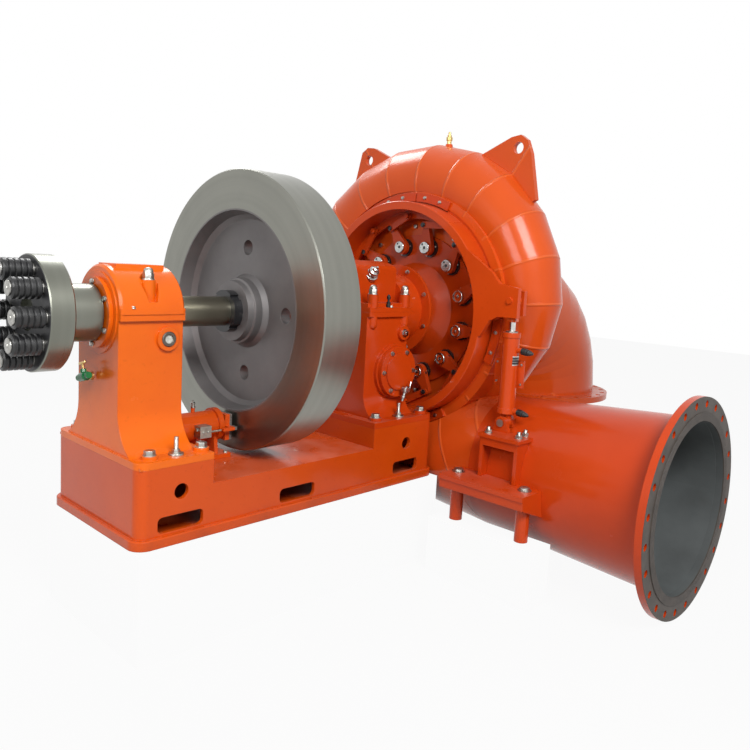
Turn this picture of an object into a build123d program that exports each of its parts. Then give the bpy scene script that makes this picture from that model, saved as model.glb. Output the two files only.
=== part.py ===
from build123d import *
from math import sin, cos, radians, sqrt
import os

os.makedirs("parts", exist_ok=True)

# Horizontal spiral case water turbine set with flywheel, two bearing pedestals, guide vane
# gear, servo cylinder and the pin half of the coupling to the generator.
# Millimetres. X runs along the shaft from coupling to turbine, -Y is the inlet side, Z is up.
# The origin is the centre of the base frame's bottom face.

# base frame
BASE_L, BASE_W, BASE_H = 1704.0, 736.0, 203.0
BASE_WALL, BASE_LIP, BASE_LIP_H = 20.0, 16.0, 38.0
BLOCK_H, FOOT_T = 97.0, 28.0
BLOCK_A_L, BLOCK_B_L = 320.0, 446.0

# rotor
WHEEL_R, WHEEL_W, WHEEL_GAP = 625.0, 200.0, 22.0
WHEEL_SET = 625.0
WHEEL_RIM_R, WHEEL_WEB_X, WHEEL_WEB_T = 445.0, 80.0, 50.0
WHEEL_HUB_R, WHEEL_HOLES, WHEEL_HOLE_R, WHEEL_HOLE_CIRCLE = 138.0, 4, 34.0, 285.0
SHAFT_R, NUT_R, NUT_L = 65.0, 93.0, 42.0
COUPLING_R, COUPLING_T, COUPLING_SET = 214.0, 89.0, 254.0
COUPLING_HUB_R, COUPLING_HUB_L = 110.0, 147.0
PINS, PIN_R, PIN_CIRCLE, PIN_L = 10, 18.0, 166.0, 118.0
BUFFERS, BUFFER_R, BUFFER_T, BUFFER_PITCH = 5, 39.0, 17.0, 20.0

# pedestals
PED_A_L, PED_A_HALF, CAP_A_R, CAP_A_HALF, BORE_A_R = 270.0, 168.0, 187.0, 187.0, 118.0
PED_B_L, PED_B_HALF, CAP_B_R, CAP_B_HALF, BORE_B_R = 304.0, 215.0, 258.0, 115.0, 108.0
PED_B_SET, HOUSING_R, HOUSING_REACH, SIDE_R = 396.0, 190.0, 44.0, 130.0
SPLIT_RISE, SPLIT_LIP, SPLIT_T = 4.0, 16.0, 24.0
BOSS_R, BOSS_H = 31.0, 14.0

# turbine
CASE_SET = 345.0
CASE_WALL, GATE_H = 12.0, 150.0
CASE_DROP = 771.0
VANES, VANE_CIRCLE, VANE_PHASE, STEM_R = 12, 358.0, 15.0, 26.0
LEVER_REACH, LEVER_TURN, LEVER_T = 478.0, -4.6, 28.0
RING_PIN_CIRCLE, RING_PIN_STEP, GEAR_PIN_R = 520.0, 11.5, 10.0
RING_SET, RING_R_IN, RING_R_OUT, RING_LIP_R = 322.0, 546.0, 590.0, 605.0
COVER_R = 420.0

# pipes
PIPE_R, PIPE_NECK_R, PIPE_END_R = 410.0, 352.0, 300.0
INLET_Y, NECK_Y = -1582.0, -600.0
FLANGE_R, FLANGE_T, FLANGE_HOLES, FLANGE_HOLE_R, FLANGE_EDGE = 507.5, 38.0, 24, 16.5, 32.5
DRAFT_X, DRAFT_BEND, DRAFT_R, DRAFT_NECK_R = 2384.0, 500.0, 410.0, 380.0
DRAFT_LEG, DRAFT_MOUTH_R = 94.0, 330.0

# servo
ARM_REACH, ARM_RISE, SERVO_DROP = 165.0, 100.0, 598.0
SERVO_R, SERVO_ROD_R, SERVO_L = 41.0, 16.0, 398.0

# running fit in bores and clearance between moving pieces
FIT, CLEAR = 0.06, 6.0

# places that follow from the sizes above
AXIS_Z = BASE_H + WHEEL_GAP + WHEEL_R
END_A, END_B = -BASE_L / 2 + BASE_LIP, BASE_L / 2 - BASE_LIP
BODY_HALF = BASE_W / 2 - BASE_LIP
BLOCK_TOP = BASE_H + BLOCK_H
FOOT_TOP = BLOCK_TOP + FOOT_T
SPLIT_Z = AXIS_Z + SPLIT_RISE
WHEEL_X0 = END_A + WHEEL_SET
COUPLING_X0 = END_A - COUPLING_SET
CASE_X = END_B + CASE_SET
PIPE_Z = AXIS_Z - CASE_DROP
RING_X0 = CASE_X - RING_SET
SERVO_X = RING_X0 + 40
SERVO_Y = -RING_R_OUT - ARM_REACH
SERVO_PIN_Z = AXIS_Z + ARM_RISE
SERVO_FOOT_Z = SERVO_PIN_Z - SERVO_DROP


def save(name, shape):
    shape.label = name
    export_step(shape, "parts/" + name + ".step")


def box(x0, x1, y0, y1, z0, z1):
    return Pos((x0 + x1) / 2, (y0 + y1) / 2, (z0 + z1) / 2) * Box(x1 - x0, y1 - y0, z1 - z0)


def rod(x0, x1, r, y=0.0, z=AXIS_Z):
    """A cylinder along X."""
    return Pos((x0 + x1) / 2, y, z) * Rot(0, 90, 0) * Cylinder(r, x1 - x0)


def tube(x0, x1, r_out, r_in):
    """A ring round the shaft axis."""
    return rod(x0, x1, r_out) - rod(x0 - 1, x1 + 1, r_in)


def post(x, y, z0, z1, r):
    """A cylinder along Z."""
    return Pos(x, y, (z0 + z1) / 2) * Cylinder(r, z1 - z0)


def spool(x, z, y0, y1, r):
    """A cylinder along Y."""
    return Pos(x, (y0 + y1) / 2, z) * Rot(90, 0, 0) * Cylinder(r, y1 - y0)


def around(r, deg):
    """Y and Z of the point at radius r, deg from the top toward the inlet side."""
    return -r * sin(radians(deg)), AXIS_Z + r * cos(radians(deg))


def turned(*points):
    """A solid of revolution about the shaft axis from (x, radius) points."""
    face = Plane.XZ * make_face(Polyline(*points, close=True))
    return Pos(0, 0, AXIS_Z) * revolve(face, Axis.X, 360)


def plate(points, x0, thick):
    """A flat plate across the shaft axis from (y, z) points."""
    return Pos(x0, 0, 0) * extrude(Plane.YZ * make_face(Polyline(*points, close=True)), thick)


def fan(start, sweep, x0, x1):
    """A sector across the shaft axis, from start over sweep degrees."""
    edge = [around(3 * WHEEL_R, start + sweep * j / 4) for j in range(5)]
    return plate([around(0, 0)] + edge, x0, x1 - x0)


def bar(p, q, rp, rq, x0, x1):
    """A plate across the shaft axis between two round ends."""
    dy, dz = q[0] - p[0], q[1] - p[1]
    n = sqrt(dy * dy + dz * dz)
    uy, uz = -dz / n, dy / n
    sides = [(p[0] + uy * rp, p[1] + uz * rp), (q[0] + uy * rq, q[1] + uz * rq),
             (q[0] - uy * rq, q[1] - uz * rq), (p[0] - uy * rp, p[1] - uz * rp)]
    return plate(sides, x0, x1 - x0) + rod(x0, x1, rp, *p) + rod(x0, x1, rq, *q)


# base frame: a welded box on a lip, with lifting slots, pipe holes and two raised end blocks
body_l = BASE_L - 2 * BASE_LIP
lip = extrude(RectangleRounded(BASE_L, BASE_W, 62), BASE_LIP_H)
lip = chamfer(lip.faces().sort_by(Axis.Z)[-1].edges(), 4)
base = lip + extrude(RectangleRounded(body_l, 2 * BODY_HALF, 45), BASE_H)
outline = extrude(RectangleRounded(body_l, 2 * BODY_HALF, 45), BLOCK_TOP)
room = extrude(RectangleRounded(body_l - 2 * BASE_WALL, 2 * (BODY_HALF - BASE_WALL), 25), BLOCK_TOP)
blocks = ((END_A, END_A + BLOCK_A_L), (END_B - BLOCK_B_L, END_B))
for x0, x1 in blocks:
    base += outline & box(x0, x1, -BODY_HALF, BODY_HALF, BASE_LIP_H, BLOCK_TOP)
base -= room & box(END_A, END_B, -BODY_HALF, BODY_HALF, BASE_WALL, BASE_H - BASE_WALL)
for x0, x1 in blocks:
    base -= room & box(x0 + BASE_WALL, x1 - BASE_WALL, -BODY_HALF, BODY_HALF, BASE_H - BASE_WALL - 1,
                       BLOCK_TOP - BASE_WALL)
SLOT_Z, SLOT_H = 80.0, 62.0
for x, length in ((END_A + 178, 196), (END_A + 755, 198), (END_B - 207, 183)):
    window = RectangleRounded(length, SLOT_H, 20)
    base -= extrude(Plane.XZ * Pos(x, SLOT_Z) * window, BASE_W, both=True)
for x in (END_A + 178, END_B - 208):
    base -= spool(x, BASE_H - 5, -BASE_W, BASE_W, 30)
save("base_frame", base)


# bearing pedestals: a foot plate, a flared body, a split line and a round cap
def outline_to(z):
    return extrude(RectangleRounded(body_l, 2 * BODY_HALF, 45), z)


def pedestal(x0, x1, foot, half, bore_r):
    """The lower half, from the foot plate to the split line."""
    flare = BODY_HALF - 6 - half
    top = BLOCK_TOP + 10
    middle = (half + flare * (1 - cos(radians(45))), top + flare * (1 - sin(radians(45))))
    side = Polyline((0, SPLIT_Z), (half, SPLIT_Z), (half, top + flare))
    curve = ThreePointArc((half, top + flare), middle, (half + flare, top))
    rest = Polyline((half + flare, top), (half + flare, BLOCK_TOP), (0, BLOCK_TOP), (0, SPLIT_Z))
    profile = make_face([*side.edges(), curve, *rest.edges()])
    right = Pos(x0, 0, 0) * extrude(Plane.YZ * profile, x1 - x0)
    shape = right + mirror(right, Plane.XZ)
    feet = box(foot[0], foot[1], -BODY_HALF, BODY_HALF, BLOCK_TOP, FOOT_TOP)
    shape += feet & outline_to(FOOT_TOP)
    shape += box(x0, x1, -half - SPLIT_LIP, half + SPLIT_LIP, SPLIT_Z - SPLIT_T, SPLIT_Z)
    return shape - rod(x0 + 20, x1 - 20, bore_r) - rod(x0 - 20, x1 + 60, SHAFT_R + 12)


def cap(x0, x1, half, radius, arch_half, bore_r, bolts, bolt_y, bolt_top):
    """The upper half: an arch between flanges, with bosses for the bolts that hold it down."""
    dome = rod(x0, x1, radius)
    dome = chamfer(dome.edges().filter_by(GeomType.CIRCLE), 9)
    arch = box(x0, x1, -arch_half, arch_half, SPLIT_Z, AXIS_Z + radius)
    arch = fillet(arch.edges().filter_by(Axis.X).sort_by(Axis.Z)[-2:], 45)
    shape = dome & arch
    shape += box(x0, x1, -half, half, SPLIT_Z, SPLIT_Z + 44)
    shape += box(x0, x1, -half - SPLIT_LIP, half + SPLIT_LIP, SPLIT_Z, SPLIT_Z + SPLIT_T)
    for x in bolts:
        notch = Polyline((x - 18, SPLIT_Z + 48), (x + 18, SPLIT_Z + 48), (x + 50, bolt_top + 40),
                         (x - 50, bolt_top + 40), close=True)
        notch = extrude(Plane.XZ * make_face(notch), radius, both=True)
        shape -= notch & box(x0, x1, bolt_y + 4, radius, SPLIT_Z, AXIS_Z + radius)
        shape -= notch & box(x0, x1, -radius, -bolt_y - 4, SPLIT_Z, AXIS_Z + radius)
        for y in (-bolt_y, bolt_y):
            shape -= post(x, y, bolt_top, AXIS_Z + radius, BOSS_R)
            shape += post(x, y, SPLIT_Z + SPLIT_T - 2, bolt_top, BOSS_R - 3)
    return shape - rod(x0 + 20, x1 - 20, bore_r) - rod(x0 - 20, x1 + 60, SHAFT_R + 12)


PED_A = (END_A + 10, END_A + 10 + PED_A_L)
mid_a = (PED_A[0] + PED_A[1]) / 2
ped_a = pedestal(*PED_A, blocks[0], PED_A_HALF, BORE_A_R)
GLASS_X, GLASS_Z = PED_A[1] - 69, AXIS_Z - 92
ped_a += spool(GLASS_X, GLASS_Z, -PED_A_HALF - 14, -PED_A_HALF + 20, 47)
ped_a -= spool(GLASS_X, GLASS_Z, -PED_A_HALF - 20, -PED_A_HALF, 22)
for x in (blocks[0][0] + 71, blocks[0][1] - 29):
    for y in (-BODY_HALF + 50, BODY_HALF - 50):
        ped_a += post(x, y, FOOT_TOP - 4, FOOT_TOP + BOSS_H, BOSS_R) & outline_to(FOOT_TOP + 50)
END_RING_R, END_RING_T = 160.0, 6.0
end_ring = tube(PED_A[0] - END_RING_T, PED_A[0], END_RING_R, SHAFT_R + 12)
ped_a += end_ring & box(END_A, 0, -BASE_W, BASE_W, 0, SPLIT_Z)
save("front_pedestal", ped_a)

cap_a = cap(*PED_A, PED_A_HALF, CAP_A_R, CAP_A_HALF, BORE_A_R, (mid_a,), 134, AXIS_Z + 135)
cap_a += end_ring & box(END_A, 0, -BASE_W, BASE_W, SPLIT_Z, 2 * AXIS_Z)
lid = box(mid_a - 100, mid_a + 100, -72, 72, AXIS_Z + CAP_A_R - 22, AXIS_Z + CAP_A_R + 4)
cap_a += lid - rod(*PED_A, BORE_A_R)
save("front_bearing_cap", cap_a)

COVER_T = 16.0
cover_a = tube(PED_A[0] - END_RING_T - COVER_T, PED_A[0] - END_RING_T, 138, SHAFT_R + FIT)
save("front_end_cover", chamfer(cover_a.edges().filter_by(GeomType.CIRCLE).group_by(Axis.X)[0][-1:], 4))
inner_a = tube(PED_A[1], PED_A[1] + COVER_T, 126, SHAFT_R + FIT)
save("front_sight_glass", spool(GLASS_X, GLASS_Z, -PED_A_HALF - 12, -PED_A_HALF, 22))

COCK_Y, COCK_Z = 44.0, AXIS_Z - 250
cock = rod(PED_A[0] - 44, PED_A[0], 12, COCK_Y, COCK_Z) + Pos(PED_A[0] - 40, COCK_Y, COCK_Z) * Sphere(22)
cock += post(PED_A[0] - 40, COCK_Y, COCK_Z, COCK_Z + 58, 8)
cock += box(PED_A[0] - 47, PED_A[0] - 33, COCK_Y - 12, COCK_Y + 70, COCK_Z + 56, COCK_Z + 63)
cock += spool(PED_A[0] - 40, COCK_Z, COCK_Y - 46, COCK_Y, 13)
save("front_drain_cock", cock)

PED_B = (END_B - PED_B_SET, END_B - PED_B_SET + PED_B_L)
HOUSING_X1 = END_B + HOUSING_REACH
CAP_BOLTS_B = ((PED_B[0] + 42, PED_B[1] - 26), PED_B_HALF - 10)
SIDE_X, SIDE_Z = PED_B[0] + 205, FOOT_TOP + 223
housing = tube(PED_B[1] - 1, HOUSING_X1, HOUSING_R, SHAFT_R + 12)
ped_b = pedestal(*PED_B, blocks[1], PED_B_HALF, BORE_B_R)
ped_b += spool(SIDE_X, SIDE_Z, -PED_B_HALF - 20, -PED_B_HALF + 10, SIDE_R + 10)
ped_b += housing & box(0, HOUSING_X1, -BASE_W, BASE_W, 0, SPLIT_Z)
for x in CAP_BOLTS_B[0]:
    for y in (-CAP_BOLTS_B[1], CAP_BOLTS_B[1]):
        ped_b += post(x, y, SPLIT_Z - 60, SPLIT_Z - SPLIT_T + 2, BOSS_R - 3)
        ped_b += Pos(x, y, SPLIT_Z - 60) * Sphere(BOSS_R - 3)
for x in (blocks[1][0] + 56, blocks[1][1] - 54):
    for y in (-BODY_HALF + 50, BODY_HALF - 50):
        ped_b += post(x, y, FOOT_TOP - 4, FOOT_TOP + BOSS_H, BOSS_R) & outline_to(FOOT_TOP + 50)
PLUG_X, PLUG_Z = PED_B[1] - 38, AXIS_Z - 105
ped_b += spool(PLUG_X, PLUG_Z, -PED_B_HALF - 16, -PED_B_HALF + 10, 38)
save("rear_pedestal", ped_b - rod(PED_B[0] + 20, PED_B[1] - 20, BORE_B_R))

cap_b = cap(*PED_B, PED_B_HALF, CAP_B_R, CAP_B_HALF, BORE_B_R, *CAP_BOLTS_B, AXIS_Z + 92)
cap_b += housing & box(0, HOUSING_X1, -BASE_W, BASE_W, SPLIT_Z, 2 * AXIS_Z)
save("rear_bearing_cap", cap_b)

side = spool(SIDE_X, SIDE_Z, -PED_B_HALF - 44, -PED_B_HALF - 20, SIDE_R)
side += spool(SIDE_X, SIDE_Z, -PED_B_HALF - 52, -PED_B_HALF - 44, SIDE_R - 36)
save("rear_side_cover", side)
end_b = tube(HOUSING_X1, HOUSING_X1 + COVER_T, HOUSING_R + 56, SHAFT_R + FIT)
end_b += tube(HOUSING_X1 + COVER_T, HOUSING_X1 + 46, 120, SHAFT_R + FIT)
save("rear_end_cover", end_b)
inner_b = tube(PED_B[0] - COVER_T, PED_B[0], BORE_B_R, SHAFT_R + FIT)
save("inner_covers", Compound(children=[inner_a.solid(), inner_b.solid()]))

OIL_X, OIL_Y, OIL_Z = SIDE_X + 28, -PED_B_HALF - 72, SIDE_Z - 92
oil = spool(OIL_X, OIL_Z, OIL_Y - 12, -PED_B_HALF - 44, 11) + Pos(OIL_X, OIL_Y, OIL_Z) * Sphere(19)
oil += post(OIL_X, OIL_Y, OIL_Z - 46, OIL_Z, 10) + rod(OIL_X, OIL_X + 36, 7, OIL_Y, OIL_Z)
save("rear_oil_cock", oil - side)

# rotor: shaft, coupling half with its pins and rubber buffers, flywheel and lock nut
save("shaft", rod(COUPLING_X0 + 20, CASE_X - 16, SHAFT_R))
hub_x0 = COUPLING_X0 + COUPLING_T
disc = turned((COUPLING_X0, SHAFT_R), (COUPLING_X0, COUPLING_R - 5), (COUPLING_X0 + 5, COUPLING_R),
              (hub_x0 - 5, COUPLING_R), (hub_x0, COUPLING_R - 5), (hub_x0, COUPLING_HUB_R),
              (hub_x0 + COUPLING_HUB_L, COUPLING_HUB_R), (hub_x0 + COUPLING_HUB_L, SHAFT_R))
pins = []
for i in range(PINS):
    y, z = around(PIN_CIRCLE, 360.0 * (i + 0.5) / PINS)
    disc -= rod(COUPLING_X0 - 5, hub_x0 + 5, PIN_R, y, z)
    pin = rod(COUPLING_X0 - PIN_L, hub_x0 + 26, PIN_R, y, z)
    for k in range(BUFFERS):
        x = COUPLING_X0 - 8 - BUFFER_PITCH * k
        pin += rod(x - BUFFER_T, x, BUFFER_R, y, z)
    pins.append(pin)
save("coupling_disc", disc)
save("coupling_pins", Compound(children=[p.solid() for p in pins]))

wheel_x1 = WHEEL_X0 + WHEEL_W
web0 = WHEEL_X0 + WHEEL_WEB_X
web1 = web0 + WHEEL_WEB_T
wheel = turned((WHEEL_X0, WHEEL_RIM_R), (WHEEL_X0, WHEEL_R - 5), (WHEEL_X0 + 5, WHEEL_R),
               (wheel_x1 - 5, WHEEL_R), (wheel_x1, WHEEL_R - 5), (wheel_x1, WHEEL_RIM_R),
               (web1, WHEEL_RIM_R - 20),
               (web1, WHEEL_HUB_R + 18), (wheel_x1, WHEEL_HUB_R), (wheel_x1, SHAFT_R),
               (WHEEL_X0 - 4, SHAFT_R), (WHEEL_X0 - 4, WHEEL_HUB_R - 5), (WHEEL_X0 + 22, WHEEL_HUB_R),
               (WHEEL_X0 + 26, WHEEL_HUB_R + 9), (web0 - 20, WHEEL_HUB_R + 12), (web0, WHEEL_HUB_R + 30),
               (web0, WHEEL_RIM_R - 34), (web0 - 22, WHEEL_RIM_R - 14))
for i in range(WHEEL_HOLES):
    wheel -= rod(WHEEL_X0 - 5, wheel_x1 + 5, WHEEL_HOLE_R, *around(WHEEL_HOLE_CIRCLE, 360.0 * i / WHEEL_HOLES))
save("flywheel", wheel)

nut = tube(WHEEL_X0 - 4 - NUT_L, WHEEL_X0 - 4, NUT_R, SHAFT_R)
for i in range(4):
    deg = 45 + 90.0 * i
    y, z = around(NUT_R, deg)
    nut -= Pos(WHEEL_X0 - 4 - NUT_L / 2, y, z) * Rot(deg, 0, 0) * Box(NUT_L + 4, 26, 18)
save("flywheel_nut", nut)

# brake under the shaft, pressing on the flywheel's rim: cylinder, shoe with its arm, and valve
BR_Y, BR_Z, BR_R, BR_ROD_R = 0.0, AXIS_Z - 505, 63.0, 18.0
BR_X1, SHOE_X0, SHOE_X1 = WHEEL_X0 - 66, WHEEL_X0 - 50, WHEEL_X0 - 15
brake = rod(BR_X1 - 205, BR_X1 - 26, BR_R, BR_Y, BR_Z) + rod(BR_X1 - 26, BR_X1, BR_R + 10, BR_Y, BR_Z)
for x in (BR_X1 - 130, BR_X1 - 40):
    leg = [(BR_Y - 60, BASE_H), (BR_Y + 60, BASE_H), (BR_Y + 40, BR_Z), (BR_Y - 40, BR_Z)]
    brake += plate(leg, x, 18)
brake += box(BR_X1 - 150, BR_X1 + 32, BR_Y - 75, BR_Y + 75, BASE_H, BASE_H + 20)
brake += post(BR_X1 - 120, BR_Y, BR_Z + BR_R - 4, BR_Z + BR_R + 22, 9)
brake -= rod(BR_X1 - 60, BR_X1 + 1, BR_ROD_R + FIT, BR_Y, BR_Z)
save("brake_cylinder", brake)
shoe = rod(BR_X1 - 40, SHOE_X0, BR_ROD_R, BR_Y, BR_Z)
shoe += box(SHOE_X0, SHOE_X1, BR_Y - 50, BR_Y + 50, BR_Z - 70, BR_Z + 46)
ARM_Y0, ARM_Y1 = BR_Y - BR_R - 30, BR_Y - BR_R - 16
shoe += box(SHOE_X0 - 35, SHOE_X1, ARM_Y0, ARM_Y1, BR_Z - 18, BR_Z - 4)
shoe += box(SHOE_X0, SHOE_X1, ARM_Y0, BR_Y, BR_Z - 18, BR_Z - 4)
save("brake_shoe", shoe)
valve = box(BR_X1 - 148, BR_X1 - 93, BR_Y - BR_R - 45, BR_Y - BR_R + 13, BR_Z - 29, BR_Z + 21)
valve += rod(BR_X1 - 94, BR_X1 - 30, 5, (ARM_Y0 + ARM_Y1) / 2, BR_Z - 11)
save("brake_valve", valve - rod(BR_X1 - 205, BR_X1, BR_R, BR_Y, BR_Z))

# spiral case: mitred sections round the guide vanes, each from its own outer and inner radius
CASE_OUTER = ((-180, CASE_DROP + PIPE_END_R), (-90, 1018.0), (-30, 958.0), (30, 909.0), (70, 857.0),
              (90, 830.0), (130, 699.0), (150, 640.0))
CASE_INNER = ((-180, CASE_DROP - PIPE_END_R), (-90, 485.0), (0, 500.0), (150, 505.0))
MITRE = 16.5
CASE_SPLIT = -180 + 10 * MITRE


def read(table, deg):
    for (a0, v0), (a1, v1) in zip(table, table[1:]):
        if deg <= a1:
            return v0 + (v1 - v0) * (deg - a0) / (a1 - a0)
    return table[-1][1]


def circle(origin, across, along, r):
    return Wire([Edge.make_circle(r, Plane(origin=origin, x_dir=across, z_dir=along))])


def section(deg, wall):
    r_out, r_in = read(CASE_OUTER, deg), read(CASE_INNER, deg)
    y, z = around((r_out + r_in) / 2, deg)
    along = (0, -cos(radians(deg)), -sin(radians(deg)))
    return circle((CASE_X, y, z), (1, 0, 0), along, (r_out - r_in) / 2 - wall)


def pipe_ring(y, r):
    return circle((CASE_X, y, PIPE_Z), (1, 0, 0), (0, 1, 0), r)


def case_parts(wall):
    """The case's inlet half with its neck, and the half that closes the spiral."""
    first = [section(-180 + MITRE * i, wall) for i in range(11)]
    second = [section(CASE_SPLIT + MITRE * i, wall) for i in range(11)]
    inlet = Solid.make_loft([pipe_ring(NECK_Y, PIPE_NECK_R - wall)] + first, ruled=True)
    return Part() + inlet, Part() + Solid.make_loft(second, ruled=True)


GATE_X0, GATE_X1 = CASE_X - GATE_H / 2, CASE_X + GATE_H / 2
RECESS_X0, RECESS_X1 = RING_X0 + 117, GATE_X0 - 46
WELL_R, CASE_BACK = RING_LIP_R + 48, 44.0
BACK_R = COVER_R + 125
outside = sum(case_parts(0), Part())
case = outside + rod(RECESS_X0, GATE_X0, WELL_R - 3) + rod(GATE_X1 - 4, GATE_X1 + CASE_BACK, BACK_R)
case -= rod(RING_X0 - 250, RECESS_X1, RING_LIP_R + 0.3) + rod(RING_X0 - 250, RECESS_X0, WELL_R)
case -= rod(RECESS_X1 - 5, GATE_X0 + 5, COVER_R)
case -= rod(GATE_X1 - 6, GATE_X1 + CASE_BACK + 5, DRAFT_MOUTH_R)
case -= rod(GATE_X0, GATE_X1, BACK_R - 5)
for water in case_parts(CASE_WALL):
    water -= rod(RING_X0 - 200, GATE_X0, WELL_R + 17)
    case -= water - rod(GATE_X1, GATE_X1 + 400, BACK_R - 12)
for k in range(VANES):
    case -= rod(GATE_X1 - 5, GATE_X1 + 26, STEM_R + FIT, *around(VANE_CIRCLE, VANE_PHASE + 360.0 * k / VANES))
# the case is welded from sectors: the shell's over two mitres each, the dish's one to each vane
dish = rod(RECESS_X0, GATE_X0, WELL_R - 3)
SHELL_SECTORS, SHELL_SWEEP, DISH_SWEEP = 9, 2 * MITRE, 360.0 / VANES
sectors = []
for i in range(SHELL_SECTORS):
    sectors.append((case - dish) & fan(-180 + SHELL_SWEEP * i, SHELL_SWEEP, -BASE_L, 2 * BASE_L))
swept = SHELL_SWEEP * SHELL_SECTORS
sectors.append((case - dish) & fan(-180 + swept, 360 - swept, -BASE_L, 2 * BASE_L))
for i in range(VANES):
    sectors.append(case & dish & fan(DISH_SWEEP * i, DISH_SWEEP, -BASE_L, 2 * BASE_L))
sectors = [sector.solids().sort_by(SortBy.VOLUME)[-1] for sector in sectors]
inlet_sectors = [sectors.pop(SHELL_SECTORS), sectors.pop(0)]
save("case_inlet", Compound(children=inlet_sectors))
save("spiral_case", Compound(children=sectors))

# inlet pipe and its flange
FLANGE_BOLTS = FLANGE_R - FLANGE_EDGE


def pipe_body(wall):
    mouth, neck = pipe_ring(INLET_Y + FLANGE_T / 2, PIPE_R - wall), pipe_ring(NECK_Y, PIPE_NECK_R - wall)
    return Solid.make_loft([mouth, neck], ruled=True)


pipe_solid = Part() + pipe_body(0)
pipe_shell = pipe_solid - pipe_body(CASE_WALL)
save("inlet_pipe", pipe_shell - spool(CASE_X, PIPE_Z, INLET_Y, INLET_Y + FLANGE_T, FLANGE_R))
flange = spool(CASE_X, PIPE_Z, INLET_Y + 4, INLET_Y + FLANGE_T, FLANGE_R)
flange += spool(CASE_X, PIPE_Z, INLET_Y, INLET_Y + 6, PIPE_R + 28)
flange -= spool(CASE_X, PIPE_Z, INLET_Y - 5, INLET_Y + FLANGE_T + 5, PIPE_R - CASE_WALL)
for i in range(FLANGE_HOLES):
    a = radians(360.0 * (i + 0.5) / FLANGE_HOLES)
    flange -= spool(CASE_X + FLANGE_BOLTS * sin(a), PIPE_Z + FLANGE_BOLTS * cos(a), INLET_Y - 5,
                    INLET_Y + FLANGE_T + 5, FLANGE_HOLE_R)
save("inlet_flange", flange)

# draft tube: bolted cone, mitred elbow and outlet flange
CONE_X0, CONE_L, JOINT_T = GATE_X1 + CASE_BACK, 300.0, 24.0
CONE_X1 = CONE_X0 + CONE_L
BEND_X0 = DRAFT_X - DRAFT_BEND
BEND_Z1 = AXIS_Z - DRAFT_BEND
DRAFT_Z = BEND_Z1 - DRAFT_LEG
BENDS = 7


def cone_r(x):
    start = DRAFT_MOUTH_R + CASE_WALL
    return start + (DRAFT_NECK_R - start) * (x - CONE_X0) / (BEND_X0 - CONE_X0)


FRONT_FLANGE_R, BACK_FLANGE_R = DRAFT_MOUTH_R + 100, DRAFT_NECK_R + 66
cone = turned((CONE_X0, DRAFT_MOUTH_R), (CONE_X0, FRONT_FLANGE_R), (CONE_X0 + JOINT_T, FRONT_FLANGE_R),
              (CONE_X0 + JOINT_T, cone_r(CONE_X0 + JOINT_T)), (CONE_X1 - JOINT_T, cone_r(CONE_X1)),
              (CONE_X1 - JOINT_T, BACK_FLANGE_R), (CONE_X1, BACK_FLANGE_R),
              (CONE_X1, cone_r(CONE_X1) - CASE_WALL))
save("draft_cone", cone)


def elbow_body(wall):
    rings = [circle((CONE_X1, 0, AXIS_Z), (0, 1, 0), (1, 0, 0), cone_r(CONE_X1) - wall)]
    for i in range(BENDS + 1):
        a = radians(90.0 * i / BENDS)
        origin = (BEND_X0 + DRAFT_BEND * sin(a), 0, BEND_Z1 + DRAFT_BEND * cos(a))
        r = DRAFT_NECK_R + (DRAFT_R - DRAFT_NECK_R) * i / BENDS - wall
        rings.append(circle(origin, (0, 1, 0), (cos(a), 0, -sin(a)), r))
    rings.append(circle((DRAFT_X, 0, DRAFT_Z), (0, 1, 0), (0, 0, -1), DRAFT_R - wall))
    return Solid.make_loft(rings, ruled=True)


elbow = Part() + elbow_body(0) + rod(CONE_X1, CONE_X1 + JOINT_T, BACK_FLANGE_R)
elbow += post(DRAFT_X, 0, DRAFT_Z, DRAFT_Z + FLANGE_T, FLANGE_R)
elbow -= elbow_body(CASE_WALL)
for i in range(FLANGE_HOLES):
    a = radians(360.0 * (i + 0.5) / FLANGE_HOLES)
    elbow -= post(DRAFT_X + FLANGE_BOLTS * sin(a), FLANGE_BOLTS * cos(a), DRAFT_Z - 5,
                  DRAFT_Z + FLANGE_T + 5, FLANGE_HOLE_R)
save("draft_elbow", elbow)

# head cover with a conical hub, and a flanged bush for each guide vane stem
COVER_X0 = RECESS_X1 - 14
HUB_X0 = HOUSING_X1 + 46
cover = turned((GATE_X0, SHAFT_R + 10), (GATE_X0, COVER_R), (COVER_X0, COVER_R), (COVER_X0, 262),
               (HUB_X0 + 34, 132), (HUB_X0, 132), (HUB_X0, SHAFT_R + 10))
bushes = []
for k in range(VANES):
    y, z = around(VANE_CIRCLE, VANE_PHASE + 360.0 * k / VANES)
    cover -= rod(COVER_X0 - 50, GATE_X0 + 10, STEM_R + FIT, y, z)
    bush = rod(COVER_X0 - 16, COVER_X0, 50, y, z) - rod(COVER_X0 - 50, GATE_X0, STEM_R + FIT, y, z)
    bushes.append(bush.solid())
save("head_cover", cover)
save("stem_bushes", Compound(children=bushes))

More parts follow.
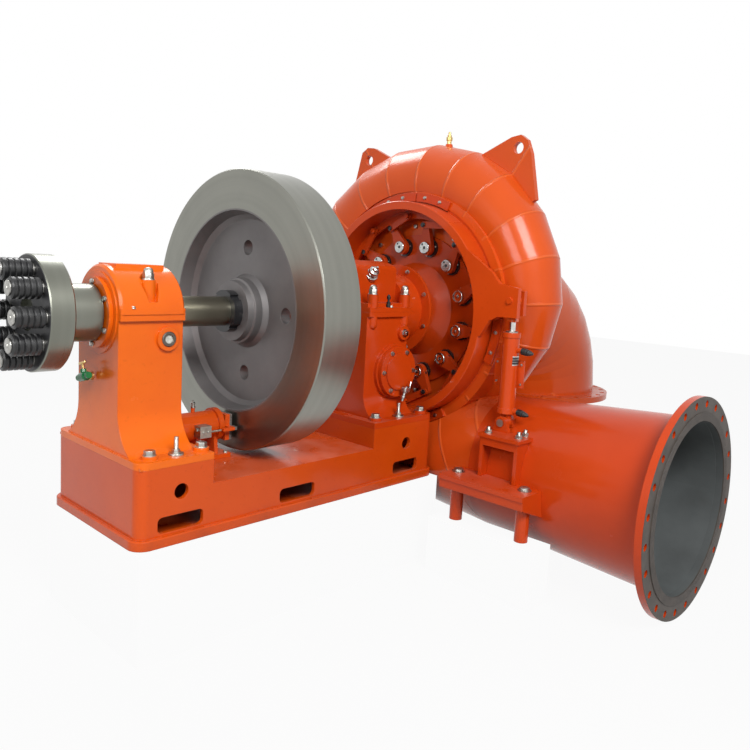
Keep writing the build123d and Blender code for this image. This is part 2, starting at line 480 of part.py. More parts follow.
# regulating ring with its driving arm, held in the case's guide bore by bolted keepers
RING_X1 = RING_X0 + 155
ring = turned((RING_X0, RING_R_IN), (RING_X0, RING_R_OUT - 3), (RING_X0 + 3, RING_R_OUT),
              (RING_X0 + 122, RING_R_OUT), (RING_X0 + 122, RING_LIP_R), (RING_X1, RING_LIP_R),
              (RING_X1, RING_PIN_CIRCLE - 14), (RING_X0 + 135, RING_PIN_CIRCLE - 14),
              (RING_X0 + 135, RING_R_IN))
ARM_T, EYE_HALF, EYE_R = 25.0, 13.0, 34.0
end_y = SERVO_Y - 45
arm = [(-430, AXIS_Z + 372), (-640, AXIS_Z + 232), (-690, AXIS_Z + 178), (end_y, AXIS_Z + 162),
       (end_y, AXIS_Z + 18), (-690, AXIS_Z + 18), (-642, AXIS_Z - 8), (-590, AXIS_Z - 90),
       (-520, AXIS_Z - 90)]
ear = [(-600, AXIS_Z + 200), (-690, AXIS_Z + 150), (end_y, AXIS_Z + 150), (end_y, AXIS_Z + 30),
       (-700, AXIS_Z + 30), (-640, AXIS_Z), (-560, AXIS_Z - 30), (-560, AXIS_Z + 200)]
inside_ring = rod(RING_X0 - 50, RING_X1 + 50, RING_R_IN + 8)
ring += plate(arm, RING_X0, ARM_T) - inside_ring
ring += plate(ear, SERVO_X + EYE_HALF + 2, ARM_T) - inside_ring
ring += box(RING_X0, SERVO_X + EYE_HALF + 27, -650, -560, AXIS_Z, AXIS_Z + 190) - inside_ring
for k in range(VANES):
    y, z = around(RING_PIN_CIRCLE, VANE_PHASE + 360.0 * k / VANES + RING_PIN_STEP)
    ring += rod(RING_X0 + 107, RING_X0 + 140, GEAR_PIN_R, y, z)
SERVO_PIN_R = 16.0
ring += rod(RING_X0 - 8, SERVO_X + 48, SERVO_PIN_R, SERVO_Y, SERVO_PIN_Z)
save("regulating_ring", ring)

keepers = []
for start, sweep in ((-28, 30.7), (3.3, 21.7), (90, 22), (150, 40), (240, 40)):
    arc = tube(RECESS_X0 - 14, RECESS_X0, WELL_R - 8, RING_R_OUT + 7)
    keepers.append((arc & fan(start, sweep, RING_X0, RING_X1)).solid())
save("ring_keepers", Compound(children=keepers))

# guide vanes with their stems and levers, and the links that tie them to the ring
LEVER_X0 = RING_X0 + 137
LINK_X0, LINK_X1 = LEVER_X0 - 22, LEVER_X0 - 8
STEM_X0 = LEVER_X0 - 11
BLADE = ((-62, 0), (-50, 10), (-20, 17), (10, 16), (50, 9), (84, 0), (50, -7), (10, -13), (-20, -14),
         (-50, -8))
for k in range(VANES):
    deg = VANE_PHASE + 360.0 * k / VANES
    stem = around(VANE_CIRCLE, deg)
    tip = around(LEVER_REACH, deg + LEVER_TURN)
    eye = around(RING_PIN_CIRCLE, deg + RING_PIN_STEP)
    vane = rod(LEVER_X0, GATE_X1 + 20, STEM_R, *stem) + rod(STEM_X0, LEVER_X0, STEM_R + 3, *stem)
    vane += bar(stem, tip, 42, 18, LEVER_X0, LEVER_X0 + LEVER_T)
    vane += rod(LINK_X0 - 6, LEVER_X0 + 5, GEAR_PIN_R, *tip)
    a = radians(deg + 78)
    blade = [(stem[0] - u * sin(a) - v * cos(a), stem[1] + u * cos(a) - v * sin(a)) for u, v in BLADE]
    vane += plate(blade, GATE_X0 + CLEAR, GATE_H - 2 * CLEAR)
    save("guide_vane_%02d" % (k + 1), vane)
    link = bar(tip, eye, 18, 18, LINK_X0, LINK_X1)
    link -= rod(LINK_X0 - 5, LINK_X1 + 5, GEAR_PIN_R + FIT, *tip)
    link -= rod(LINK_X0 - 5, LINK_X1 + 5, GEAR_PIN_R + 3, *eye)
    save("link_%02d" % (k + 1), link)

# servo cylinder beside the ring: a barrel hinged on its stand, and a rod pinned to the arm
FOOT_PIN_R = 14.0
BARREL_Z0 = SERVO_FOOT_Z + 46
BARREL_Z1 = BARREL_Z0 + SERVO_L
barrel = rod(SERVO_X - EYE_HALF, SERVO_X + EYE_HALF, 30, SERVO_Y, SERVO_FOOT_Z)
barrel += box(SERVO_X - EYE_HALF, SERVO_X + EYE_HALF, SERVO_Y - 24, SERVO_Y + 24, SERVO_FOOT_Z + 10,
              BARREL_Z0 + 5)
barrel += post(SERVO_X, SERVO_Y, BARREL_Z0, BARREL_Z1, SERVO_R)
barrel += post(SERVO_X, SERVO_Y, BARREL_Z0, BARREL_Z0 + 26, SERVO_R + 4)
barrel += post(SERVO_X, SERVO_Y, BARREL_Z1 - 24, BARREL_Z1, SERVO_R + 4)
for z in (BARREL_Z0 + 14, BARREL_Z1 - 84):
    barrel += spool(SERVO_X, z, SERVO_Y - SERVO_R - 22, SERVO_Y - SERVO_R + 8, 13)
barrel -= post(SERVO_X, SERVO_Y, BARREL_Z0 + 30, BARREL_Z1 + 10, SERVO_ROD_R + FIT)
barrel -= rod(SERVO_X - 20, SERVO_X + 20, FOOT_PIN_R + FIT, SERVO_Y, SERVO_FOOT_Z)
save("servo_cylinder", barrel)
NECK_Z = SERVO_PIN_Z - 94
ram = post(SERVO_X, SERVO_Y, BARREL_Z0 + 90, NECK_Z, SERVO_ROD_R)
ram += rod(SERVO_X - EYE_HALF, SERVO_X + EYE_HALF, EYE_R, SERVO_Y, SERVO_PIN_Z)
ram += box(SERVO_X - EYE_HALF, SERVO_X + EYE_HALF, SERVO_Y - 24, SERVO_Y + 24, NECK_Z - 6, SERVO_PIN_Z)
save("servo_rod", ram - rod(SERVO_X - 20, SERVO_X + 20, SERVO_PIN_R + 3, SERVO_Y, SERVO_PIN_Z))

# servo stand: a welded frame on the case foot, open to the front, with a top plate and two ears
STAND_TOP, FOOT_BAR_Z = SERVO_FOOT_Z - 46, PIPE_Z + 12
stand_x0, stand_x1, stand_y0, stand_y1 = SERVO_X - 129, SERVO_X + 30, SERVO_Y - 160, SERVO_Y + 53
stand = box(stand_x0 - 10, SERVO_X + 61, stand_y0 - 10, stand_y1 + 10, STAND_TOP - 18, STAND_TOP)
stand += box(stand_x0, stand_x0 + 18, stand_y0, stand_y1, FOOT_BAR_Z, STAND_TOP)
stand += box(stand_x0, stand_x1, stand_y0, stand_y0 + 16, FOOT_BAR_Z, STAND_TOP)
stand += box(stand_x0, stand_x1, stand_y1 - 16, stand_y1, FOOT_BAR_Z, STAND_TOP)
stand -= box(stand_x0 - 5, stand_x0 + 25, stand_y0 + 18, stand_y1 - 18, FOOT_BAR_Z - 5, STAND_TOP - 58)
for x in (SERVO_X - EYE_HALF - 27, SERVO_X + EYE_HALF + 2):
    stand += bar((SERVO_Y, SERVO_FOOT_Z), (SERVO_Y, STAND_TOP + 1), 32, 44, x, x + ARM_T)
under_plate = box(stand_x0, SERVO_X + 60, stand_y0, stand_y1, STAND_TOP - 90, STAND_TOP - 18)
stand -= under_plate & rod(SERVO_X - 60, SERVO_X + 60, 60, SERVO_Y, STAND_TOP)
stand += rod(SERVO_X - 46, SERVO_X + 46, FOOT_PIN_R, SERVO_Y, SERVO_FOOT_Z)
save("servo_stand", stand - pipe_solid)

# case foot: a beam along the pipe with ribs, an end plate and two posts down to the floor
BAR_Y0, BAR_Y1, BAR_X0, SKIRT_H = SERVO_Y - 287, SERVO_Y + 190, SERVO_X - 259, 66.0
POST_Z, POST_X, POST_R = -150.0, BAR_X0 + 106, 32.0
foot = box(BAR_X0, stand_x1, BAR_Y0, BAR_Y1, FOOT_BAR_Z - 24, FOOT_BAR_Z)
foot += box(BAR_X0 + 6, BAR_X0 + 24, BAR_Y0, BAR_Y1, FOOT_BAR_Z - SKIRT_H, FOOT_BAR_Z)
rib = make_face(Polyline((BAR_X0 + 10, FOOT_BAR_Z - SKIRT_H), (BAR_X0 + 10, FOOT_BAR_Z - 4),
                         (stand_x1, FOOT_BAR_Z - 4), (stand_x1, FOOT_BAR_Z - 170), close=True))
for y in (BAR_Y0, BAR_Y0 + 155, BAR_Y0 + 290, BAR_Y1 - 16):
    foot += Pos(0, y + 16, 0) * extrude(Plane.XZ * rib, 16)
for y in (BAR_Y0 + 57, BAR_Y1 - 40):
    foot += post(POST_X, y, POST_Z, FOOT_BAR_Z - 20, POST_R)
save("case_foot", foot - pipe_solid - outside)

# lifting lugs welded on top of the case, and the air valve
LUG_T, LUG_HOLE_R = 30.0, 30.0
near = [(-240, 790), (-286, 851), (-492, 938), (-548, 946), (-588, 918), (-616, 850), (-664, 612), (-560, 560)]
far = [(340, 800), (387, 893), (512, 952), (566, 958), (612, 930), (650, 790), (678, 700), (600, 640)]
lugs = Part()
for points in (near, far):
    lugs += plate([(y, AXIS_Z + z) for y, z in points], CASE_X - LUG_T / 2, LUG_T)
for y in (-538, 548):
    lugs -= rod(CASE_X - 50, CASE_X + 50, LUG_HOLE_R, y, AXIS_Z + 880)
save("lifting_lugs", lugs - outside)

VENT_Y, VENT_Z = -64.0, AXIS_Z + 932
vent = Pos(CASE_X, VENT_Y, VENT_Z - 25) * Cone(38, 19, 50) + post(CASE_X, VENT_Y, VENT_Z, VENT_Z + 34, 13)
vent += Pos(CASE_X, VENT_Y, VENT_Z + 40) * Sphere(17) + post(CASE_X, VENT_Y, VENT_Z + 48, VENT_Z + 70, 8)
save("air_valve", vent - outside)
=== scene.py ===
from math import radians, sin, cos, pi
import bpy
import bmesh
from mathutils import Vector, Matrix


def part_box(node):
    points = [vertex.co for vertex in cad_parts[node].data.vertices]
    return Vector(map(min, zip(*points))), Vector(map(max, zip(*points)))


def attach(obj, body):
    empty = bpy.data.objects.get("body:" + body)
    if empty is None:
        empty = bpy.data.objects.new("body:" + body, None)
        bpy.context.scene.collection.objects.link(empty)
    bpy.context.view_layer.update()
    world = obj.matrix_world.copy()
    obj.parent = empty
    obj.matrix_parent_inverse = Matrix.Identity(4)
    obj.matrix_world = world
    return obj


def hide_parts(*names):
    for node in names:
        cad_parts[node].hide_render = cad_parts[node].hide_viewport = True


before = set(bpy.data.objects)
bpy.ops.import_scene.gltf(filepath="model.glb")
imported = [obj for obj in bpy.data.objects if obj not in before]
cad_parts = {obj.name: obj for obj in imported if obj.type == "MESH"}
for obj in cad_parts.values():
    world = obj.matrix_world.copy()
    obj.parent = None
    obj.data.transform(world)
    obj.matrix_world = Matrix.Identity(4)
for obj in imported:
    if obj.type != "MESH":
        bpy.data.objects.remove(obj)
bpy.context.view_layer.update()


# Base frame.
# A box welded from steel plate on a wide lip, with lifting slots through its sides and a
# raised block under each pedestal. It is filled, rubbed down and sprayed with gloss orange.
class Signal:
    """A number on its way through a material: arithmetic on it adds Math nodes."""

    def __init__(self, finish, socket):
        self.finish = finish
        self.socket = socket

    def math(self, operation, other=0.0, flip=False):
        pair = (other, self) if flip else (self, other)
        return self.finish.node("ShaderNodeMath", {"operation": operation}, *pair)

    def __add__(self, other):
        return self.math('ADD', other)

    def __sub__(self, other):
        return self.math('SUBTRACT', other)

    def __rsub__(self, other):
        return self.math('SUBTRACT', other, flip=True)

    def __mul__(self, other):
        return self.math('MULTIPLY', other)

    def __truediv__(self, other):
        return self.math('DIVIDE', other)

    def __pow__(self, other):
        return self.math('POWER', other)

    def __lt__(self, other):
        return self.math('LESS_THAN', other)

    def __gt__(self, other):
        return self.math('GREATER_THAN', other)

    def __or__(self, other):
        return self.math('MAXIMUM', other)

    __radd__ = __add__


class Finish:
    """A material. node() adds one node: its type, its settings, then what its sockets take."""

    def __init__(self, name, kept_with=bpy.data.materials):
        self.material = kept_with.new(name)
        self.material.use_nodes = True
        self.tree = self.material.node_tree
        self.tree.nodes.clear()
        self.place = self.node("ShaderNodeTexCoord", {}, out="Object")

    def node(self, kind, settings, *values, out=0, **sockets):
        made = self.tree.nodes.new(kind)
        for setting, value in settings.items():
            setattr(made, setting, value)
        named = {key.replace("_", " "): value for key, value in sockets.items()}
        for key, value in (*enumerate(values), *named.items()):
            if isinstance(value, Signal):
                self.tree.links.new(value.socket, made.inputs[key])
            elif value is not None:
                made.inputs[key].default_value = value
        return Signal(self, made.outputs[out]) if made.outputs else None

    def noise(self, scale, detail=3.0, rough=0.55, at=None):
        return self.node("ShaderNodeTexNoise", {}, Vector=at or self.place, Scale=scale,
                         Detail=detail, Roughness=rough)

    def ramp(self, signal, low, high):
        """0 below low, 1 above high."""
        return self.node("ShaderNodeMapRange", {"clamp": True}, signal, low, high)

    def mix(self, share, first, second):
        """A colour between two colours. The node's five sockets in between are for other data."""
        others = [None] * 5
        return self.node("ShaderNodeMix", {"data_type": 'RGBA'}, share, *others, first, second, out=2)

    def axes(self):
        """Where a point is along X, Y and Z."""
        return [self.node("ShaderNodeSeparateXYZ", {}, self.place, out=axis) for axis in "XYZ"]

    def facing_up(self):
        """How far the surface faces up: 1 on a level top."""
        normal = self.node("ShaderNodeNewGeometry", {}, out="Normal")
        return self.node("ShaderNodeSeparateXYZ", {}, normal, out="Z")

    def from_shaft(self):
        """A point's place along the shaft, and its distance from the shaft's centre line."""
        x, y, z = self.axes()
        up = z - AXIS_Z
        return x, (y * y + up * up) ** 0.5

    def relief(self, height, depth, edge=0.0):
        """A normal with the relief's height in metres, and with CAD edges rounded to a radius."""
        normal = self.node("ShaderNodeBevel", {"samples": 4}, edge) if edge else None
        return self.node("ShaderNodeBump", {}, Strength=1.0, Distance=depth, Height=height,
                         Normal=normal)

    def surface(self, **sockets):
        shader = self.node("ShaderNodeBsdfPrincipled", {}, **sockets)
        self.node("ShaderNodeOutputMaterial", {}, shader)
        return self.material


def enamel(name, bright, deep, ripple, edge=0.003):
    """Sprayed gloss enamel over filled steel: uneven thickness, orange peel, some dust and painted
    shade near the floor.
    """
    paint = Finish(name)
    cloud = paint.ramp(paint.noise(1.7, 4.0), 0.35, 0.66)
    fleck = paint.ramp(paint.noise(55.0, 2.0), 0.62, 0.80)
    colour = paint.mix(cloud, (*bright, 1), (*deep, 1))
    colour = paint.mix(fleck * 0.22, colour, (*[c * 0.55 for c in deep], 1))
    dust = paint.ramp(paint.facing_up(), 0.75, 1.0) * paint.ramp(paint.noise(4.0, 5.0), 0.42, 0.70)
    colour = paint.mix(dust * 0.13, colour, (0.55, 0.42, 0.36, 1))
    height = paint.axes()[2]
    # Painted shade: the enamel darkens in noisy patches towards the floor, where the frame meets the
    # plinth.
    near_floor = (1 - paint.ramp(height, 0.0, 0.07)) * paint.ramp(height, -0.02, 0.0)
    floor_shade = near_floor * paint.ramp(paint.noise(9.0), 0.35, 0.7)
    colour = paint.mix(floor_shade * 0.35, colour, (0.16, 0.045, 0.02, 1))
    smear = paint.noise(6.0, 5.0)
    peel = paint.noise(150.0, 2.0)
    sag = paint.noise(7.0, 2.0)
    return paint.surface(
        Base_Color=colour, Roughness=0.16 + smear * 0.16 + dust * 0.25, IOR=1.5,
        Coat_Weight=0.15 - dust * 0.1, Coat_Roughness=0.05, Specular_IOR_Level=0.22,
        Normal=paint.relief(peel * 0.06 + sag * ripple, 0.002, edge))


def dress(material, *names):
    """Gives CAD nodes a material in place of the plain one they came with."""
    for name in names:
        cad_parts[name].data.materials.clear()
        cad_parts[name].data.materials.append(material)


frame_enamel = enamel("frame_enamel", (0.60, 0.072, 0.003), (0.50, 0.054, 0.003), 0.55)
dress(frame_enamel, "base_frame")


# Bearing pedestals.
# Grey iron castings split at the shaft's height, each with a flared body and a round cap.
# They are filled, sprayed with the base frame's orange and bolted down on its blocks.
cast_enamel = enamel("cast_enamel", (0.78, 0.140, 0.004), (0.68, 0.105, 0.003), 1.0, 0.005)
dress(cast_enamel, "front_pedestal", "front_bearing_cap", "front_end_cover", "inner_covers")
# The rear pedestal takes a darker, redder copy of the same orange: painted shade for the turbine side.
shaded_turbine_enamel = enamel("shaded_turbine_enamel", (0.56, 0.054, 0.004), (0.48, 0.042, 0.003), 0.8, 0.004)
dress(shaded_turbine_enamel, "rear_pedestal", "rear_bearing_cap", "rear_side_cover", "rear_end_cover")


# Bolts of the pedestals.
# Zinc plated hexagon bolts on washers hold the feet, and cap nuts hold the bearing caps.
# Between the foot bolts of each side stands a jacking stud with its nut.
def plated(name, colour, rough):
    """Bright plating that has dulled a little, with finger marks and fine scratches."""
    metal = Finish(name)
    cloud = metal.ramp(metal.noise(60.0, 4.0), 0.30, 0.70)
    return metal.surface(
        Base_Color=metal.mix(cloud, (*colour, 1), (*[c * 0.62 for c in colour], 1)), Metallic=1.0,
        Roughness=rough + cloud * 0.16, Normal=metal.relief(metal.noise(700.0, 2.0), 0.0003))


def stand(place, axis):
    """The matrix that stands a piece made along Z on a face at place, facing along axis."""
    return Matrix.Translation(place) @ Vector(axis).to_track_quat('Z', 'Y').to_matrix().to_4x4()


def prism(shape, at, low, high, radius, sides, chamfer=0.0):
    """A round or hexagon block from low to high along its own axis, with its top edge broken."""
    middle = at @ Matrix.Translation((0, 0, (low + high) / 2))
    made = bmesh.ops.create_cone(shape, cap_ends=True, segments=sides, radius1=radius,
                                 radius2=radius, depth=high - low, matrix=middle)["verts"]
    if chamfer:
        top = at @ Vector((0, 0, high))
        axis = (at.to_3x3() @ Vector((0, 0, 1))).normalized()
        on_top = [vert for vert in made if abs((vert.co - top).dot(axis)) < 1e-6]
        rim = dict.fromkeys(edge for vert in on_top for edge in vert.link_edges
                            if all(end in on_top for end in edge.verts))
        bmesh.ops.bevel(shape, geom=list(rim), offset=chamfer, segments=2, profile=0.5,
                        affect='EDGES', material=-1)


def lathe(shape, at, outline, steps=24):
    """A turned piece from (height, radius) points along its own axis."""
    chain = [shape.verts.new(at @ Vector((radius, 0, height))) for height, radius in outline]
    lines = [shape.edges.new(pair) for pair in zip(chain, chain[1:])]
    bmesh.ops.spin(shape, geom=chain + lines, cent=at.translation, axis=at.to_3x3() @ Vector((0, 0, 1)),
                   dvec=(0, 0, 0), angle=2 * pi, steps=steps, use_merge=True)


def hex_bolt(shape, at, size, stud=0.0):
    """A hexagon head or nut on its washer, for a bolt of that size; a stud stands out of a nut."""
    washer, head = size * 0.16, size * 0.80
    prism(shape, at, 0, washer, size, 20, size * 0.05)
    prism(shape, at, washer, head, size * 0.86, 6, size * 0.09)
    if stud:
        pitch, crest, root = washer, size * 0.5, size * 0.46
        thread = [(head + pitch * i / 2, root if i % 2 else crest)
                  for i in range(2 * int(stud / pitch))]
        lathe(shape, at, [*thread, (thread[-1][0] + size * 0.05, 0)], 12)


def piece(shape, name, material, body):
    """Makes the finished bmesh an object that rides on a body."""
    bmesh.ops.remove_doubles(shape, verts=shape.verts, dist=1e-5)
    bmesh.ops.recalc_face_normals(shape, faces=shape.faces)
    data = bpy.data.meshes.new(name)
    shape.to_mesh(data)
    shape.free()
    data.shade_smooth()
    data.set_sharp_from_angle(angle=radians(35))
    data.materials.append(material)
    made = bpy.data.objects.new(name, data)
    bpy.context.scene.collection.objects.link(made)
    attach(made, body)
    return made


AXIS_Z = sum(corner.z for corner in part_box("shaft")) / 2


def round_shaft(radius, degrees, x):
    """The point at that radius from the shaft's centre line, degrees from the top toward the inlet."""
    turn = radians(degrees)
    return Vector((x, -radius * sin(turn), AXIS_Z + radius * cos(turn)))


zinc = plated("zinc", (0.50, 0.49, 0.45), 0.26)
FACE_NEAR, FACE_COUPLING, FACE_TURBINE, FACE_UP = (0, -1, 0), (-1, 0, 0), (1, 0, 0), (0, 0, 1)
front_low, front_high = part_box("front_pedestal")
rear_low, rear_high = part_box("rear_pedestal")
FOOT_THICKNESS, BOSS_HEIGHT, FOOT_INSET, STUD_PAD = 0.028, 0.014, 0.052, 0.008
FOOT_TOP = front_low.z + FOOT_THICKNESS
FOOT_Y = front_high.y - FOOT_INSET
FRONT_BOLTS = (front_low.x + 0.071, front_high.x - 0.029)
REAR_BOLTS = (rear_low.x + 0.056, rear_high.x - 0.098)
bolts = bmesh.new()
for first, last in (FRONT_BOLTS, REAR_BOLTS):
    for y in (-FOOT_Y, FOOT_Y):
        for x in (first, last):
            hex_bolt(bolts, stand((x, y, FOOT_TOP + BOSS_HEIGHT), FACE_UP), 0.025)
        middle = (first + last) / 2
        prism(bolts, stand((middle, y, FOOT_TOP), FACE_UP), 0, STUD_PAD, 0.030, 20, 0.003)
        hex_bolt(bolts, stand((middle, y, FOOT_TOP + STUD_PAD), FACE_UP), 0.018, 0.050)
piece(bolts, "pedestal_foot_bolts", zinc, "frame")

cap_bolts = bmesh.new()
for x, y, z in ((-0.691, 0.134, 0.985), (0.482, 0.205, 0.942), (0.718, 0.205, 0.942)):
    for side in (-y, y):
        place = stand((x, side, z), FACE_UP)
        prism(cap_bolts, place, 0, 0.005, 0.025, 20, 0.001)
        prism(cap_bolts, place, 0.005, 0.026, 0.022, 6, 0.002)
        lathe(cap_bolts, place, [(0.026, 0.019), (0.036, 0.0185), (0.043, 0.014), (0.047, 0.007),
                                 (0.048, 0)], 20)
SPLIT_FLANGE_TOP = 0.878
for x, y in ((-0.774, 0.177), (0.600, 0.222)):
    for side in (-y, y):
        hex_bolt(cap_bolts, stand((x, side, SPLIT_FLANGE_TOP), FACE_UP), 0.012)
piece(cap_bolts, "cap_bolts", zinc, "frame")


# Cover screws of the pedestals.
# Small zinc plated hexagon screws round the end covers, the rear cover's rim and the round
# inspection cover on the rear pedestal's side.
cover_screws = bmesh.new()
FRONT_CIRCLE, REAR_CIRCLE, REAR_FLANGE, SIDE_CIRCLE, SIDE_STEP = 0.120, 0.221, 0.016, 0.110, 0.008
front_face, rear_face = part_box("front_end_cover")[0].x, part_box("rear_end_cover")[0].x
for k in range(6):
    hex_bolt(cover_screws, stand(round_shaft(FRONT_CIRCLE, 60 * k, front_face), FACE_COUPLING), 0.011)
for k in range(8):
    near_face = round_shaft(REAR_CIRCLE, 20 + 45 * k, rear_face)
    hex_bolt(cover_screws, stand(near_face, FACE_COUPLING), 0.012)
    hex_bolt(cover_screws, stand(near_face + Vector((REAR_FLANGE, 0, 0)), FACE_TURBINE), 0.010)
side_low, side_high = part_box("rear_side_cover")
side_middle = (side_low + side_high) / 2
for k in range(6):
    turn = radians(60 * k)
    place = (side_middle.x + SIDE_CIRCLE * cos(turn), side_low.y + SIDE_STEP,
             side_middle.z + SIDE_CIRCLE * sin(turn))
    hex_bolt(cover_screws, stand(place, FACE_NEAR), 0.012)
piece(cover_screws, "cover_screws", zinc, "frame")


# Sight glass of the front pedestal.
# A round glass behind a tarnished brass ring, which is screwed into the casting. It shows the
# level of the bearing's oil against a pale reflector.
glass = Finish("oil_glass")
oil_film = glass.ramp(glass.noise(90.0), 0.35, 0.7)
dress(glass.surface(Base_Color=glass.mix(oil_film, (0.62, 0.62, 0.57, 1), (0.42, 0.40, 0.33, 1)),
                    Roughness=0.05 + glass.noise(30.0) * 0.05, Coat_Weight=1.0, Coat_Roughness=0.02),
      "front_sight_glass")
glass_low, glass_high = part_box("front_sight_glass")
glass_middle = (glass_low + glass_high) / 2
rim = bmesh.new()
lathe(rim, stand((glass_middle.x, glass_low.y - 0.003, glass_middle.z), FACE_NEAR),
      [(-0.010, 0.021), (0.003, 0.017), (0.005, 0.019), (0.005, 0.027), (0.002, 0.030),
       (-0.010, 0.030)], 32)
tarnished = plated("tarnished_brass", (0.17, 0.15, 0.13), 0.24)
piece(rim, "sight_glass_rim", tarnished, "frame")


# Drain cock of the front pedestal.
# A small valve lacquered green, screwed into the casting low on the coupling side, with a brass
# T handle.
brass = plated("brass", (0.72, 0.50, 0.20), 0.22)
green = enamel("green_lacquer", (0.02, 0.20, 0.06), (0.012, 0.11, 0.04), 0.2)
cock = Vector((front_low.x - 0.034, 0.020, 0.600))
run = Vector((0, -0.96, 0.26))
across = Vector((0, 0.26, 0.96))
valve = bmesh.new()
lathe(valve, stand(cock - run * 0.048, run),
      [(0, 0), (0, 0.013), (0.017, 0.013), (0.021, 0.017), (0.068, 0.018), (0.074, 0.013),
       (0.092, 0.013), (0.092, 0)], 24)
prism(valve, stand(cock, across), 0.010, 0.030, 0.012, 8, 0.002)
cock_body = piece(valve, "drain_cock_body", green, "frame")
handle = bmesh.new()
lathe(handle, stand(cock + Vector((0.034, 0, 0)), FACE_COUPLING),
      [(0, 0), (0, 0.017), (0.010, 0.017), (0.010, 0.011), (0.020, 0.011), (0.020, 0)], 20)
prism(handle, stand(cock, across), 0.028, 0.054, 0.005, 12)
prism(handle, stand(cock + across * 0.054, run), -0.026, 0.026, 0.005, 12, 0.002)
piece(handle, "drain_cock_handle", brass, "frame")
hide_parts("front_drain_cock")


# Shaft and coupling half.
# Forged steel, turned to a fine finish and left bare under a film of oil. The coupling's
# driving face is blackened.
def turned(name, colour, dark, rough):
    """Bare turned steel: fine rings round the shaft, a film of oil and a few dull patches."""
    steel = Finish(name)
    along, away = steel.from_shaft()
    lathe_marks = steel.node("ShaderNodeCombineXYZ", {}, along * 420.0, away * 420.0, 0.0)
    rings = steel.noise(1.0, 3.0, at=lathe_marks)
    wide_marks = steel.node("ShaderNodeCombineXYZ", {}, along * 26.0, away * 26.0, 0.0)
    bands = steel.noise(1.0, 2.0, at=wide_marks)
    stain = steel.ramp(steel.noise(4.0, 3.0), 0.45, 0.75)
    shade = steel.mix(bands, (*colour, 1), (*dark, 1))
    shade = steel.mix(stain * 0.15, shade, (*[c * 0.7 for c in dark], 1))
    return steel, along, away, shade, rings, rough + rings * 0.10 + stain * 0.04


steel, along, _, shade, rings, dull = turned(
    "turned_steel", (0.24, 0.245, 0.21), (0.18, 0.185, 0.155), 0.24)
DRIVING_FACE, FRONT_BEARING, WHEEL_NUT = -1.0885, -0.60, -0.20
driving = along < DRIVING_FACE
shade = steel.mix(driving, shade, (0.030, 0.030, 0.032, 1))
# Painted light: the shaft between the front bearing and the wheel nut gets a lighter, yellower colour
# standing in for light on that span.
between = (along > FRONT_BEARING) * (along < WHEEL_NUT)
shade = steel.mix(between, shade, (0.33, 0.31, 0.24, 1))
turned_steel = steel.surface(Base_Color=shade, Metallic=1 - driving * 0.7,
                             Roughness=dull + driving * 0.15,
                             Normal=steel.relief(rings, 0.00005, 0.0015))
dress(turned_steel, "shaft", "coupling_disc")


# Coupling pins.
# Ten steel pins with five ridged black rubber rings each, held by a washer and a nut at both
# ends. The rings take up shock when they turn inside the generator's half.
rubber = Finish("buffer_rubber")
bloom = rubber.ramp(rubber.noise(26.0, 4.0), 0.40, 0.72)
buffer_rubber = rubber.surface(
    Base_Color=rubber.mix(bloom, (0.008, 0.008, 0.009, 1), (0.022, 0.022, 0.022, 1)),
    Roughness=0.30 + bloom * 0.2, Normal=rubber.relief(rubber.noise(240.0, 3.0), 0.0004))
PIN_CIRCLE, FIRST_RUBBER, RUBBER_PITCH, DISC_THICKNESS = 0.166, 0.0085, 0.0198, 0.089
coupling_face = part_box("coupling_disc")[0].x
rings_mesh, pin_mesh = bmesh.new(), bmesh.new()
for i in range(10):
    foot = stand(round_shaft(PIN_CIRCLE, 36 * (i + 0.5), coupling_face), FACE_COUPLING)
    ridges = [(0.007, 0.017)]
    for k in range(5):
        low = FIRST_RUBBER + RUBBER_PITCH * k
        ridges += [(low, 0.034), (low + 0.004, 0.0385), (low + 0.015, 0.0385), (low + 0.019, 0.034)]
    lathe(rings_mesh, foot, [*ridges, (0.1085, 0.017)], 28)
    lathe(pin_mesh, foot, [(-0.085, 0.0175), (0.0005, 0.0175), (0.0005, 0.026), (0.007, 0.026),
                           (0.007, 0.0178), (0.1085, 0.0178), (0.1085, 0.027), (0.1130, 0.027),
                           (0.1150, 0.024), (0.1150, 0.010), (0.1175, 0.008), (0.1175, 0)], 24)
    back = stand(round_shaft(PIN_CIRCLE, 36 * (i + 0.5), coupling_face + DISC_THICKNESS), FACE_TURBINE)
    prism(pin_mesh, back, 0, 0.003, 0.024, 20, 0.001)
    prism(pin_mesh, back, 0.003, 0.006, 0.0145, 16, 0.001)
buffer_rings = piece(rings_mesh, "buffer_rings", buffer_rubber, "rotor")
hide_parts("coupling_pins")
pin_steel = plated("pin_steel", (0.52, 0.51, 0.48), 0.24)
piece(pin_mesh, "coupling_pin_bolts", pin_steel, "rotor")


# Flywheel and its lock nut.
# A steel disc with a heavy rim, turned bright on the rim, with a darker, rougher web. The
# ring nut that holds it on its taper is blackened.
wheel, _, away, shade, rings, dull = turned(
    "wheel_steel", (0.29, 0.29, 0.255), (0.22, 0.22, 0.195), 0.26)
RIM_INSIDE, BORE = 0.452, 0.070
web = (away < RIM_INSIDE) * (1 - (away < BORE))
blotch = wheel.ramp(wheel.noise(5.0, 4.0), 0.3, 0.7)
grey = wheel.mix(blotch, (0.17, 0.16, 0.158, 1), (0.135, 0.127, 0.127, 1))
scale = wheel.noise(36.0, 4.0)
wheel_steel = wheel.surface(
    Base_Color=wheel.mix(web, shade, grey), Metallic=1 - web * 0.45,
    Roughness=dull + web * (0.10 + scale * 0.12),
    Normal=wheel.relief(rings + scale * web * 1.5, 0.00007, 0.003))
dress(wheel_steel, "flywheel")
black = Finish("blackened_steel")
worn = black.ramp(black.noise(48.0, 4.0), 0.55, 0.80)
